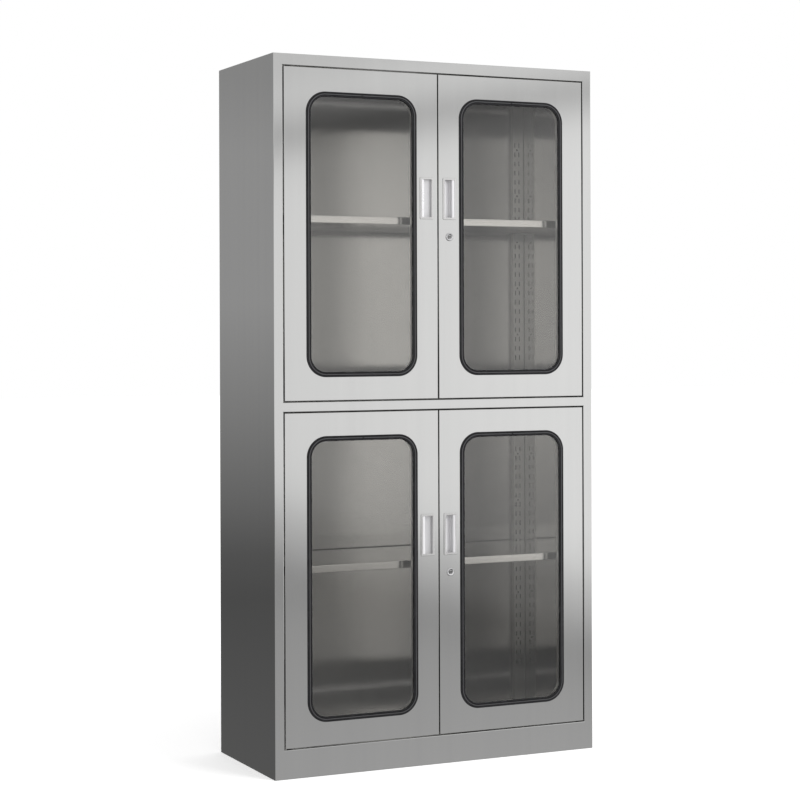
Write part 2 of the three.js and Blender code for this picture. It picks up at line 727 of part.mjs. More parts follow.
for (const { name, floor, shelfSlot } of levels) {
  piece(cabinet, `${name}_shelf`, shelf(shelfSlot), brushedSteel);
  for (const side of [LEFT, RIGHT]) {
    const rearClip = shelfClip(side, rearSlotRows, rearColumnFace, -1, shelfSlot);
    const frontClip = shelfClip(side, frontSlotRows, frontColumnBack, 1, shelfSlot);
    piece(cabinet, `${name}_rear_${sideName[side]}_clip`, rearClip, galvanised);
    piece(cabinet, `${name}_front_${sideName[side]}_clip`, frontClip, galvanised);

    const doorName = `${name}_${sideName[side]}`;
    const free = -side;
    const locked = side === RIGHT;
    const door = new THREE.Group();
    door.position.set(side * doorCentreX, 0, floor + DOOR_GAP);
    piece(door, `${doorName}_door_skin`, doorSkin(free, locked), brushedSteel);
    piece(door, `${doorName}_door_liner`, doorLiner(free, locked), brushedSteel);
    piece(door, `${doorName}_glass`, glassPane(), clearGlass);
    piece(door, `${doorName}_seal`, seal(), rubber);
    piece(door, `${doorName}_handle`, flushHandle(free), nickel);
    piece(door, `${doorName}_top_pivot`, pivot(free, doorHeight, 1), galvanised);
    piece(door, `${doorName}_bottom_pivot`, pivot(free, 0, -1), galvanised);
    if (locked) {
      const lockX = free * (doorWidth / 2 - LOCK_INSET);
      piece(door, `${name}_lock_barrel`, lockBarrel(lockX), chrome);
      piece(door, `${name}_lock_plug`, lockPlug(lockX), chrome);
      piece(door, `${name}_lock_nut`, lockNut(lockX), galvanised);
      piece(door, `${name}_lock_cam`, lockCam(lockX), galvanised);
    } else {
      const boltX = free * (doorWidth / 2 - BOLT_INSET);
      piece(door, `${name}_bolt_guide`, boltGuide(boltX), galvanised);
      piece(door, `${name}_bolt`, bolt(boltX), nickel);
    }
    cabinet.add(door);
  }
}

export default cabinet;
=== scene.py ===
"""Looks of a glass-fronted steel cabinet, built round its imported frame.

Metres, +Z up, the front faces -Y.
"""

import math

import bmesh
import bpy
import numpy as np
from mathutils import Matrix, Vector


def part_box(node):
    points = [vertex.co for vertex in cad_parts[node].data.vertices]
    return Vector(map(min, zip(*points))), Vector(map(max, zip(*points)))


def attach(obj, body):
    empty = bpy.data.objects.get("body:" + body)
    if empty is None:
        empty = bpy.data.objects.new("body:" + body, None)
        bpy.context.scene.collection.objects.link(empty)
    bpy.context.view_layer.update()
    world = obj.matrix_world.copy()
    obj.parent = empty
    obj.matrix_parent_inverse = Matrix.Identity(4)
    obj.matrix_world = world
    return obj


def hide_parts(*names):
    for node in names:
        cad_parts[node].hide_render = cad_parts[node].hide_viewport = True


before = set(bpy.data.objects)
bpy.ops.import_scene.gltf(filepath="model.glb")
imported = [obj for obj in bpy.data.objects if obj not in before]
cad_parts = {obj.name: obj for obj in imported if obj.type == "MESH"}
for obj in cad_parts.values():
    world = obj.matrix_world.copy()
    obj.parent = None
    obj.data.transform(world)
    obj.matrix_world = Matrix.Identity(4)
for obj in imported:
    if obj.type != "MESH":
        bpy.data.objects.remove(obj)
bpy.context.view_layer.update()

# Sheet and folds
MM = 0.001
SHEET = 1.0 * MM
SKIN = SHEET / 2  # from a sheet's face to its middle
FOLD = 0.8 * MM  # radius of a fold, at the middle of the sheet
DOOR_FOLD = 0.7 * MM  # the same at a door's edges
FOLD_MARGIN = 0.3 * MM  # strip of flat beside a fold, so that the fold shades only itself
MARGIN_SHARE = 0.3  # the most that such a strip takes of a short flat
FOLD_RUN = 3 * FOLD  # how far a rail or a shelf's lip turns over into its level sheet
FOLD_STEPS = 6
MERGE = 1e-6  # points closer than this are one
SHARP_ANGLE = math.radians(35)

# Case and shelves
STILE_RETURN = 28 * MM
RAIL_RETURN = 40 * MM
PLINTH_RETURN = 25 * MM
REAR_LIP = 15 * MM
SHELF_RETURN = 12 * MM
RETURN_FOLD = 6 * MM  # a rail's return in front of the plate that takes the bolt
STILE_BLEND = 2 * MM  # the rails run this far past the opening, flush into the stiles
BOLT = 3.5 * MM  # radius
BOLT_HOLE = 3.8 * MM

# Rivets on the rear columns
SLOT_PITCH = 26 * MM
TOP_SLOTS = (777 * MM, 1633 * MM)  # height of the top slots in each compartment
SLOTS_PER_RIVET = 5
RIVETS = 5  # in each compartment, on each rear column
RIVET_INSET = 22.5 * MM  # from the outside of the side, half way between the two rows of slots
RIVET_RADIUS = 2.6 * MM
RIVET_STEPS = 3  # in each quarter turn
# The head as (share of the radius, depth behind the column's face), from its hollow middle to its foot
RIVET_HEAD = (
    (0.0, 0.2 * MM),
    (0.35, 0.2 * MM),
    (0.4, -0.8 * MM),
    (0.75, -0.6 * MM),
    (1.0, -0.1 * MM),
    (1.0, 0.3 * MM),
    (0.0, 0.3 * MM),
)

# Doors
CORNER_STEPS = 20
LATHE_STEPS = 12  # in each quarter turn
STRIP = 52 * MM  # width of the strip along a door's free edge that holds the handle
COLLAR_INSET = 10.5 * MM  # middle of the liner's window collar, from the seal's outer edge
COLLAR_FRONT = 6.9 * MM  # from the door's face to the collar's front edge
LINER_FLANGE = 7.2 * MM

# Glazing seal
SEAL_RADIUS = 53 * MM
SEAL_COVER = 6 * MM  # how far it laps over the skin
SEAL_PROUD = 2.5 * MM
SEAL_GROOVE = 0.6 * MM  # rubber left at the bottom of the grooves between the beads
SEAL_BEAD = (4.25 * MM, 1.7 * MM)  # width and height
SEAL_FILLER = (4.5 * MM, SEAL_PROUD)
BEAD_POWER = 0.7
BEAD_STEPS = 10
PANE_SEAT = 8.3 * MM  # inset of the groove that holds the pane
PANE_GROOVE = (0.2 * MM, 4.5 * MM)  # depths of that groove's two walls
PANE_LIP = 6.6 * MM  # depth of the back of the lip behind the pane
LIP_BEVEL = 0.6 * MM
SKIN_SEAT = 6.3 * MM  # inset of the groove that grips the skin
SKIN_GROOVE = 1.2 * MM  # depth of that groove's rear wall
SKIN_LIP = (2.0 * MM, 3.3 * MM)  # inset of the edge and depth of the back of the lip behind the skin
LIP_ROOT = 6.4 * MM  # inset at which that lip starts
JOINT_WIDTH = 1.2 * MM  # half width of the notch where the seal's ends meet
JOINT_DEPTH = 0.45  # share of the rubber's height lost at that notch
JOINT_STATIONS = (6, 2, 1.2, 0.6, 0, -0.6, -1.2, -2, -6)  # points along the top, in half widths of the notch

# Flush pulls
HANDLE_RADIUS = 3 * MM
HANDLE_RIM = 5.5 * MM
HANDLE_EDGE = 0.8 * MM
HANDLE_RECESS = 14 * MM
HANDLE_LIP = 6 * MM  # width of the lip that slopes in from the hinge side
HANDLE_LIP_DROP = 1.4 * MM
HANDLE_RAMP = 4 * MM  # rise of the recess floor towards the free side
HANDLE_FLOOR = 2.5 * MM  # radius of the fold at the recess floor
HANDLE_WALL = 1.2 * MM
CUP_RADIUS = 0.5 * MM  # corners of the skin's cut for the pull

# Cam locks
LOCK_HOLE = 8 * MM
LOCK_BORE = 5.8 * MM
LOCK_BODY = 8 * MM
LOCK_DISH = 1.8 * MM  # depth of the flange's dish at the bore
# The flange's crest as (inset from its edge, depth behind its front), from the dish out to the edge
LOCK_CREST = (
    (2.3 * MM, 0.15 * MM),
    (1.8 * MM, 0.0),
    (0.8 * MM, 0.5 * MM),
    (0.2 * MM, 1.4 * MM),
    (0.0, 2.4 * MM),
)
PLUG = 5.5 * MM  # radius
PLUG_DROP = 1.0 * MM  # how far its face lies behind the front of the frame's plug
PLUG_BEVEL = 0.9 * MM
TAIL = 3 * MM
KEY_SLOT_HALF = (4.25 * MM, 1.4 * MM)
KEY_SLOT_RADIUS = 0.4 * MM
KEY_SLOT_DEPTH = 4 * MM
KEYWAY_SHADE_DROP = 0.4 * MM  # how far the dark plate of painted shade in the key slot lies behind the plug's face

DOORS = ("upper_left", "upper_right", "lower_left", "lower_right")
LEVELS = ("upper", "lower")
SIDE_SIGN = {"left": -1.0, "right": 1.0}


def box(node):
    """Lowest and highest corner of a frame node, as arrays."""
    low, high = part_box(node)
    return np.array(low), np.array(high)


CASE_LOW, CASE_HIGH = box("left_side_panel")
FRONT, REAR = CASE_LOW[1], CASE_HIGH[1]
HALF_WIDTH = -CASE_LOW[0]
HEIGHT = CASE_HIGH[2]
STILE_INNER = -CASE_HIGH[0]
RAIL_END = STILE_INNER + STILE_BLEND
BACK_INNER = box("back_panel")[0][1]
LOWER_FLOOR = box("bottom_panel")[1][2]
LOWER_CEILING = box("mid_partition")[0][2]
UPPER_FLOOR = box("mid_partition")[1][2]
UPPER_CEILING = box("top_panel")[0][2]


# Shapes as grids of points


def grid_faces(rows, columns, wrap_rows=False, wrap_columns=False):
    """One four-sided face for each cell of a grid of points, round to the start where a side is closed."""
    row = np.arange(rows if wrap_rows else rows - 1)
    column = np.arange(columns if wrap_columns else columns - 1)
    r, c = np.meshgrid(row, column, indexing="ij")
    after_r = (r + 1) % rows
    after_c = (c + 1) % columns
    cells = [r * columns + c, r * columns + after_c, after_r * columns + after_c, after_r * columns + c]
    return np.stack(cells, axis=-1).reshape(-1, 4)


def grid_shell(points, wrap_rows=False, wrap_columns=False):
    """A shell from points[row, column] with its faces."""
    rows, columns = points.shape[:2]
    return points.reshape(-1, 3), grid_faces(rows, columns, wrap_rows, wrap_columns)


def ring_shell(points):
    """A shell from points[row, column] that closes on itself both ways."""
    return grid_shell(points, wrap_rows=True, wrap_columns=True)


def folded_line(corners, radius=FOLD):
    """Middle line of a folded sheet and its left-hand normals: straight runs joined by arcs.

    At each inner corner the line leaves the straight run at radius times the tangent of half the turn,
    and its heading then grows evenly through the turn, about a centre one radius to the turning side.
    A point is added on the flat at each end of an arc. There is one radius, or one for each inner corner.
    """
    corners = np.asarray(corners, float)
    radius = np.broadcast_to(radius, len(corners) - 2)
    runs = np.diff(corners, axis=0)
    heading = np.arctan2(runs[:, 1], runs[:, 0])
    turn = (np.diff(heading) + np.pi) % (2 * np.pi) - np.pi
    side = np.sign(turn)
    trim = radius * np.tan(np.abs(turn) / 2)
    flat = np.hypot(*runs.T) - np.append(trim, 0.0) - np.append(0.0, trim)
    margin = np.minimum(FOLD_MARGIN, MARGIN_SHARE * np.maximum(flat, 0.0))
    ahead = np.stack([np.cos(heading), np.sin(heading)], axis=-1)
    left = np.stack([-ahead[:, 1], ahead[:, 0]], axis=-1)
    start = corners[1:-1] - ahead[:-1] * trim[:, None]
    centre = start + left[:-1] * (side * radius)[:, None]
    angle = heading[:-1, None] + turn[:, None] * np.linspace(0, 1, FOLD_STEPS + 1)
    angle = np.concatenate([angle[:, :1], angle, angle[:, -1:]], axis=1)
    normal = np.stack([-np.sin(angle), np.cos(angle)], axis=-1)
    line = centre[:, None] - normal * (side * radius)[:, None, None]
    line[:, 0] -= ahead[:-1] * margin[:-1, None]
    line[:, -1] += ahead[1:] * margin[1:, None]
    line = np.concatenate([corners[:1], line.reshape(-1, 2), corners[-1:]])
    normal = np.concatenate([left[:1], normal.reshape(-1, 2), left[-1:]])
    return line, normal


def sheet_section(corners, radius=FOLD):
    """Closed section of a folded sheet: one face of it out, and the other face back."""
    line, normal = folded_line(corners, radius)
    return np.concatenate([line + normal * SKIN, (line - normal * SKIN)[::-1]])


def folded_panel(corners, axis, span, thickness=SHEET, radius=FOLD):
    """A folded sheet run straight along one axis, between two places on it.

    The section's two values go to the other two axes in order. Each station of the section gives a
    four-point loop: one face at both ends of the span, then the other face at both ends.
    """
    line, normal = folded_line(corners, radius)
    faces = [line + normal * thickness / 2, line - normal * thickness / 2]
    loop = [(faces[0], span[0]), (faces[0], span[1]), (faces[1], span[1]), (faces[1], span[0])]
    points = np.zeros((len(line), 4, 3))
    across = [i for i in range(3) if i != axis]
    for column, (section, place) in enumerate(loop):
        points[:, column, across] = section
        points[:, column, axis] = place
    vertices, quads = grid_shell(points, wrap_columns=True)
    last = 4 * (len(line) - 1)
    caps = np.array([[0, 1, 2, 3], [last, last + 1, last + 2, last + 3]])
    return vertices, np.concatenate([quads, caps])


def plate(x_span, y_span, z_span):
    """A flat plate: a straight sheet as thick as its Y span, run from one Z to another."""
    middle_y = (y_span[0] + y_span[1]) / 2
    corners = [(x_span[0], middle_y), (x_span[1], middle_y)]
    return folded_panel(corners, 2, z_span, thickness=y_span[1] - y_span[0])


def round_path(steps, top_stations=()):
    """A path round a rectangle with rounded corners, as two arrays: which corner each point turns about,
    and the way it faces. A top station lies between the two upper corners, at that share of the way."""
    quarter = np.linspace(0, np.pi / 2, steps + 1)
    angle = quarter + np.arange(4)[:, None] * np.pi / 2
    facing = np.stack([np.cos(angle), np.sin(angle)], axis=-1)
    signs = np.array([[1, 1], [-1, 1], [-1, -1], [1, -1]], float)
    corner = np.repeat(signs[:, None], steps + 1, axis=1)
    top = np.array([[share, 1.0] for share in top_stations]).reshape(-1, 2)
    up = np.tile([0.0, 1.0], (len(top), 1))
    corner = np.concatenate([corner[0], top, corner[1:].reshape(-1, 2)])
    facing = np.concatenate([facing[0], up, facing[1:].reshape(-1, 2)])
    return corner, facing


def loops_round(path, centre, half, radius, inset, depth):
    """Points[section, path] of a section carried round a rounded rectangle in the XZ plane.

    Each section point lies inset from the outline and at that Y. Its loop turns about corners that lie
    max(radius, inset) in from the sides, at a distance of max(radius - inset, 0).
    """
    corner, facing = path
    inset = np.asarray(inset, float)[:, None, None]
    depth = np.broadcast_to(np.asarray(depth, float), inset.shape[:1])
    reach = np.asarray(half) - np.maximum(radius, inset)
    flat = np.asarray(centre) + corner * reach + facing * np.maximum(radius - inset, 0)
    y = np.broadcast_to(depth[:, None], flat.shape[:2])
    return np.stack([flat[..., 0], y, flat[..., 1]], axis=-1)


def frame_plate(path, hole, outer, y_span):
    """A flat plate between a rounded hole and a rectangle round it. hole is (centre, half, radius) and
    outer is (lowest, highest) in X and Z: the hole's loop and the rectangle's, each in front and behind."""
    low, high = np.asarray(outer[0]), np.asarray(outer[1])
    edge = ((low + high) / 2, (high - low) / 2, 0.0)
    front, back = y_span
    order = ((hole, front), (edge, front), (edge, back), (hole, back))
    return ring_shell(np.stack([loops_round(path, *outline, [0.0], y)[0] for outline, y in order]))


def level_frame_plate(path, hole, outer, z_span):
    """The same plate laid level: its places in Z become places in Y."""
    points, faces = frame_plate(path, hole, outer, z_span)
    return points[:, [0, 2, 1]], faces


def turned(profile, centre, path):
    """A turned piece on an axis along Y: (radius, Y) points, each carried round a full circle."""
    radius, y = np.asarray(profile, float).T
    facing = path[1]
    flat = np.asarray(centre) + facing * radius[:, None, None]
    depth = np.broadcast_to(y[:, None], flat.shape[:2])
    return np.stack([flat[..., 0], depth, flat[..., 1]], axis=-1)


# Node trees

WHOLE = (0.0, 1.0)
GRAIN_SPAN = (0.3, 0.7)  # the noise of a grain runs between these
PATCH_SPAN = (0.35, 0.75)  # noise between these fades in a patch of bloom or film
MARK_SPAN = (0.52, 0.72)  # the same for a mark left by handling
FINE_SHARE, BROAD_SHARE, CLOUD_SHARE = 0.35, 0.4, 0.25  # what makes up the brushed tone
SHEET_RELIEF = 0.005  # strength of the bump on the brushed sheets
BRUSH_DEPTH = 0.2 * MM
RUBBER_DEPTH = 0.1 * MM


def add(tree, kind, **settings):
    """A node of one kind, with its settings."""
    node = tree.nodes.new(kind)
    for name, value in settings.items():
        setattr(node, name, value)
    return node


def math_node(tree, operation, first, second):
    """One operation on two values, each a socket or a number."""
    node = add(tree, "ShaderNodeMath", operation=operation)
    for socket, value in zip(node.inputs, (first, second)):
        if isinstance(value, (int, float)):
            socket.default_value = value
        else:
            tree.links.new(value, socket)
    return node.outputs[0]


def plus(tree, first, second):
    """The sum of two values."""
    return math_node(tree, "ADD", first, second)


def times(tree, first, second):
    """The product of two values."""
    return math_node(tree, "MULTIPLY", first, second)


def split_axes(tree, vector):
    """The X, Y and Z sockets of a vector."""
    node = add(tree, "ShaderNodeSeparateXYZ")
    tree.links.new(vector, node.inputs[0])
    return node.outputs


def ramp(tree, value, source, target, smooth=True):
    """A value mapped from one span to another, held at its ends."""
    node = add(tree, "ShaderNodeMapRange")
    node.interpolation_type = "SMOOTHSTEP" if smooth else "LINEAR"
    for name, number in zip(("From Min", "From Max", "To Min", "To Max"), (*source, *target)):
        node.inputs[name].default_value = number
    tree.links.new(value, node.inputs["Value"])
    return node.outputs["Result"]


def levels(tree, value, stops):
    """A value read off a line of (value, level) stops, held at its ends."""
    first, last = stops[0][0], stops[-1][0]
    place = ramp(tree, value, (first, last), WHOLE, smooth=False)
    node = add(tree, "ShaderNodeValToRGB")
    line = node.color_ramp.elements
    for _ in stops[2:]:
        line.new(0.5)
    for element, (at, level) in zip(line, stops):
        element.position = (at - first) / (last - first)
        element.color = (level, level, level, 1)
    tree.links.new(place, node.inputs["Fac"])
    return node.outputs["Color"]


def mix_tones(tree, share, first, second):
    """A colour between two by a share. Each of the two is a socket or a plain (red, green, blue)."""
    node = add(tree, "ShaderNodeMix", data_type="RGBA")
    tree.links.new(share, node.inputs["Factor"])
    colour_sockets = node.inputs[6:8]  # they follow those for numbers and vectors
    for socket, tone in zip(colour_sockets, (first, second)):
        if isinstance(tone, tuple):
            socket.default_value = (*tone, 1)
        else:
            tree.links.new(tone, socket)
    return node.outputs[2]


def new_group(name, inputs, outputs):
    """An empty shader group with named sockets, and its two end nodes."""
    group = bpy.data.node_groups.new(name, "ShaderNodeTree")
    for socket, kind, value in inputs:
        item = group.interface.new_socket(socket, in_out="INPUT", socket_type=kind)
        if value is not None:
            item.default_value = value
    for socket, kind in outputs:
        group.interface.new_socket(socket, in_out="OUTPUT", socket_type=kind)
    return group, add(group, "NodeGroupInput").outputs, add(group, "NodeGroupOutput").inputs


def noise(tree, vector, scale, detail, roughness=0.5):
    """Noise of one scale on a vector."""
    node = add(tree, "ShaderNodeTexNoise")
    node.inputs["Scale"].default_value = scale
    node.inputs["Detail"].default_value = detail
    node.inputs["Roughness"].default_value = roughness
    tree.links.new(vector, node.inputs["Vector"])
    return node.outputs["Fac"]


def brush_grain():
    """Brushed finish: noise drawn out along the brushing, at a fine and a broad scale, and soft clouds.

    Tone mixes the dark and the light colour, Rough moves about its middle value, and Height is the fine
    streak for a bump.
    """
    inputs = [
        ("Vector", "NodeSocketVector", None),
        ("Stretch", "NodeSocketVector", (900.0, 900.0, 6.0)),
        ("Dark", "NodeSocketColor", (0.5, 0.5, 0.5, 1)),
        ("Light", "NodeSocketColor", (0.6, 0.6, 0.6, 1)),
        ("Rough Middle", "NodeSocketFloat", 0.3),
        ("Rough Change", "NodeSocketFloat", 0.1),
    ]
    outputs = [("Tone", "NodeSocketColor"), ("Rough", "NodeSocketFloat"), ("Height", "NodeSocketFloat")]
    group, given, result = new_group("brush_grain", inputs, outputs)
    drawn = add(group, "ShaderNodeVectorMath", operation="MULTIPLY")
    group.links.new(given["Vector"], drawn.inputs[0])
    group.links.new(given["Stretch"], drawn.inputs[1])
    fine = noise(group, drawn.outputs[0], scale=1.0, detail=4.0, roughness=0.6)
    broad = noise(group, drawn.outputs[0], scale=0.06, detail=2.0)
    cloud = noise(group, given["Vector"], scale=2.2, detail=2.0)
    mixed = times(group, fine, FINE_SHARE)
    mixed = plus(group, mixed, times(group, broad, BROAD_SHARE))
    mixed = plus(group, mixed, times(group, cloud, CLOUD_SHARE))
    share = ramp(group, mixed, GRAIN_SPAN, WHOLE, smooth=False)
    group.links.new(mix_tones(group, share, given["Dark"], given["Light"]), result["Tone"])
    offset = times(group, math_node(group, "SUBTRACT", mixed, 0.5), given["Rough Change"])
    group.links.new(plus(group, given["Rough Middle"], offset), result["Rough"])
    group.links.new(fine, result["Height"])
    return group


def handling_marks():
    """Faint cloudy marks left by handling: soft noise above a level adds to the roughness."""
    inputs = [
        ("Vector", "NodeSocketVector", None),
        ("Size", "NodeSocketFloat", 14.0),
        ("Rough", "NodeSocketFloat", 0.3),
        ("Amount", "NodeSocketFloat", 0.08),
    ]
    group, given, result = new_group("handling_marks", inputs, [("Rough", "NodeSocketFloat")])
    cloud = add(group, "ShaderNodeTexNoise")
    cloud.inputs["Detail"].default_value = 5.0
    group.links.new(given["Vector"], cloud.inputs["Vector"])
    group.links.new(given["Size"], cloud.inputs["Scale"])
    mark = ramp(group, cloud.outputs["Fac"], MARK_SPAN, WHOLE)
    dulled = plus(group, given["Rough"], times(group, mark, given["Amount"]))
    group.links.new(dulled, result["Rough"])
    return group


BRUSH = brush_grain()
MARKS = handling_marks()

# Materials. The tones of a metal are the dark and the light of its grain

UPRIGHT = (700.0, 700.0, 5.0)  # how the grain is drawn out along X, Y and Z
LENGTHWAYS = (5.0, 700.0, 700.0)
EVEN = (60.0, 60.0, 60.0)
OUTER_STEEL = ((0.635, 0.635, 0.63), (0.67, 0.67, 0.663))
# Darker copy of the steel for the back panel and the rear columns: painted shade of the cabinet's dim inside
SHADED_INNER_STEEL = ((0.55, 0.55, 0.545), (0.58, 0.58, 0.575))
# Lighter copy of the steel for the shelves' front lips, which are folded from the shelves' own sheet: painted
# light
LIT_LIP_STEEL = ((0.68, 0.68, 0.675), (0.71, 0.71, 0.705))
# Lighter copy of the steel for the door linings: painted light, which brightens their reflection in the back
# panel
LIT_LINING_STEEL = ((0.76, 0.76, 0.755), (0.80, 0.80, 0.795))
NICKEL = ((0.70, 0.695, 0.69), (0.77, 0.765, 0.76))
# Lighter copy of the nickel for the pull's recess: painted light against the shade in the recess
LIT_NICKEL = ((0.78, 0.775, 0.79), (0.84, 0.835, 0.85))
WORN_METAL = ((0.42, 0.42, 0.42), (0.52, 0.52, 0.52))
CHROME = ((0.90, 0.90, 0.91), (0.96, 0.96, 0.97))
ZINC = ((0.42, 0.43, 0.44), (0.60, 0.61, 0.62))
DARK_STEEL = ((0.05, 0.05, 0.05), (0.09, 0.09, 0.09))
RUBBER_TONES = ((0.005, 0.005, 0.006), (0.012, 0.012, 0.014))
RUBBER_ROUGH = (0.16, 0.24)
RUBBER_SHINE = 0.34
RUBBER_RELIEF = 0.05
# Painted highlight on the crest of the seal's filler strip: its tone, from what share of its height, and its
# span in Y
FILLER_HIGHLIGHT_TONE = (0.05, 0.05, 0.052)
FILLER_HIGHLIGHT_SHARE = 0.72  # the filler's crest is painted paler above this share of its height: a painted highlight
FILLER_HIGHLIGHT_SPAN = (FRONT - SEAL_PROUD, FRONT - FILLER_HIGHLIGHT_SHARE * SEAL_PROUD)
GLASS_TONES = ((0.846, 0.832, 0.804), (0.827, 0.815, 0.788))
GLASS_INDEX = 1.66  # above that of plain glass, for panes that mirror the room well
UNLIT_TONE = (0.02, 0.02, 0.02)
COLUMN_EDGE = 417 * MM  # the back panel is unlit beyond this, behind the slotted columns


def new_material(name):
    """A material with its shader and the object coordinates."""
    material = bpy.data.materials.new(name)
    material.use_nodes = True
    tree = material.node_tree
    shader = tree.nodes["Principled BSDF"]
    return material, tree, shader, add(tree, "ShaderNodeTexCoord").outputs["Object"]


def bump(tree, shader, height, strength, distance):
    """A bump from one height socket into the shader's normal."""
    node = add(tree, "ShaderNodeBump")
    node.inputs["Strength"].default_value = strength
    node.inputs["Distance"].default_value = distance
    tree.links.new(height, node.inputs["Height"])
    tree.links.new(node.outputs["Normal"], shader.inputs["Normal"])


def brushed_metal(
    name, tones, rough, change, brushing=UPRIGHT, anisotropy=0.0, relief=0.03, marks=0.05, metallic=1.0
):
    """Brushed metal: the grain group gives tone, roughness and bump, and handling marks dull it in places."""
    material, tree, shader, coordinates = new_material(name)
    grain = add(tree, "ShaderNodeGroup", node_tree=BRUSH)
    grain.inputs["Stretch"].default_value = brushing
    grain.inputs["Dark"].default_value = (*tones[0], 1)
    grain.inputs["Light"].default_value = (*tones[1], 1)
    grain.inputs["Rough Middle"].default_value = rough
    grain.inputs["Rough Change"].default_value = change
    tree.links.new(coordinates, grain.inputs["Vector"])
    touched = add(tree, "ShaderNodeGroup", node_tree=MARKS)
    touched.inputs["Amount"].default_value = marks
    tree.links.new(coordinates, touched.inputs["Vector"])
    tree.links.new(grain.outputs["Rough"], touched.inputs["Rough"])
    tree.links.new(grain.outputs["Tone"], shader.inputs["Base Color"])
    tree.links.new(touched.outputs["Rough"], shader.inputs["Roughness"])
    shader.inputs["Metallic"].default_value = metallic
    shader.inputs["Anisotropic"].default_value = anisotropy
    bump(tree, shader, grain.outputs["Height"], relief, BRUSH_DEPTH)
    return material


def steel_sheet(name, tones, rough, change=0.02, brushing=UPRIGHT, anisotropy=1.0, marks=0.01):
    """The brushed steel of one kind of sheet, with a very fine grain."""
    return brushed_metal(name, tones, rough, change, brushing, anisotropy, SHEET_RELIEF, marks)


def soft_rubber():
    """Black moulded rubber: a fine skin with a little pale bloom where the noise is high, and a painted
    highlight along the crest of its filler strip, which stands furthest in front of the door."""
    material, tree, shader, coordinates = new_material("black_rubber")
    grain = noise(tree, coordinates, scale=900.0, detail=4.0, roughness=0.6)
    bloom = noise(tree, coordinates, scale=35.0, detail=4.0)
    black = mix_tones(tree, ramp(tree, bloom, PATCH_SPAN, WHOLE), *RUBBER_TONES)
    # Painted highlight: the front of the filler strip turns paler
    highlit = ramp(tree, split_axes(tree, coordinates)["Y"], FILLER_HIGHLIGHT_SPAN, (1.0, 0.0))
    tree.links.new(mix_tones(tree, highlit, black, FILLER_HIGHLIGHT_TONE), shader.inputs["Base Color"])
    tree.links.new(ramp(tree, bloom, GRAIN_SPAN, RUBBER_ROUGH), shader.inputs["Roughness"])
    shader.inputs["Specular IOR Level"].default_value = RUBBER_SHINE
    bump(tree, shader, grain, RUBBER_RELIEF, RUBBER_DEPTH)
    return material


def clear_glass():
    """Clear glass that mirrors the room well, with a faint film of dust that dims it in places."""
    material, tree, shader, coordinates = new_material("clear_glass")
    film = ramp(tree, noise(tree, coordinates, scale=6.0, detail=5.0), PATCH_SPAN, WHOLE)
    tree.links.new(mix_tones(tree, film, *GLASS_TONES), shader.inputs["Base Color"])
    shader.inputs["Transmission Weight"].default_value = 1.0
    shader.inputs["Roughness"].default_value = 0.0
    shader.inputs["IOR"].default_value = GLASS_INDEX
    return material


def shade_behind_columns(material):
    """Darkens the two strips of the back panel that the slotted columns close off from the light."""
    tree = material.node_tree
    tone = tree.nodes["Principled BSDF"].inputs["Base Color"]
    place = split_axes(tree, add(tree, "ShaderNodeTexCoord").outputs["Object"])
    across = math_node(tree, "ABSOLUTE", place["X"], 0.0)
    beyond = math_node(tree, "GREATER_THAN", across, COLUMN_EDGE)
    inside = math_node(tree, "LESS_THAN", place["Y"], BACK_INNER + SKIN)
    closed = times(tree, beyond, inside)
    tree.links.new(mix_tones(tree, closed, tone.links[0].from_socket, UNLIT_TONE), tone)


steel = steel_sheet("brushed_steel", OUTER_STEEL, rough=0.08, change=0.015)
steel_back = steel_sheet("brushed_steel_back", SHADED_INNER_STEEL, rough=0.18)
steel_column = steel_sheet("brushed_steel_column", SHADED_INNER_STEEL, rough=0.285, change=0.005, marks=0.0)
steel_level = steel_sheet("brushed_steel_level", OUTER_STEEL, rough=0.14, brushing=LENGTHWAYS, anisotropy=0.0)
steel_shelf = steel_sheet("brushed_steel_shelf", LIT_LIP_STEEL, rough=0.08, change=0.015)
steel_lining = steel_sheet("brushed_steel_lining", LIT_LINING_STEEL, rough=0.35, anisotropy=0.0)
nickel = brushed_metal("satin_nickel", NICKEL, rough=0.22, change=0.06)
# The pull's recess sheet takes the lighter copy of the nickel, as painted light
lit_pan_nickel = brushed_metal("nickel_painted_light", LIT_NICKEL, rough=0.24, change=0.06, metallic=0.5)
plug_metal = brushed_metal("worn_plug", WORN_METAL, rough=0.2, change=0.06, relief=0.01)
chrome = brushed_metal("bright_chrome", CHROME, rough=0.1, change=0.04, relief=0.01)
plated = brushed_metal("zinc_plate", ZINC, rough=0.42, change=0.16, brushing=EVEN)
dark_steel = brushed_metal("dark_steel", DARK_STEEL, rough=0.5, change=0.1, brushing=EVEN)
rubber = soft_rubber()
glass = clear_glass()
shade_behind_columns(steel_back)


# Pieces


def piece(name, shells, material, slot, body, *replaced):
    """One mesh object from closed shells. Each has its doubles merged and its faces turned outwards."""
    whole = bmesh.new()
    for points, faces in shells:
        scratch = bpy.data.meshes.new("scratch")
        scratch.from_pydata(points.tolist(), [], faces.tolist())
        shell = bmesh.new()
        shell.from_mesh(scratch)
        bmesh.ops.remove_doubles(shell, verts=shell.verts, dist=MERGE)
        bmesh.ops.dissolve_degenerate(shell, edges=shell.edges, dist=MERGE)
        bmesh.ops.recalc_face_normals(shell, faces=shell.faces)
        shell.to_mesh(scratch)
        shell.free()
        whole.from_mesh(scratch)
        bpy.data.meshes.remove(scratch)
    mesh = bpy.data.meshes.new(name)
    whole.to_mesh(mesh)
    whole.free()
    mesh.shade_smooth()
    mesh.set_sharp_from_angle(angle=SHARP_ANGLE)
    mesh.materials.append(material)
    thing = bpy.data.objects.new(name, mesh)
    bpy.context.scene.collection.objects.link(thing)
    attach(thing, body)
    if replaced:
        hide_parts(*replaced)


# Case


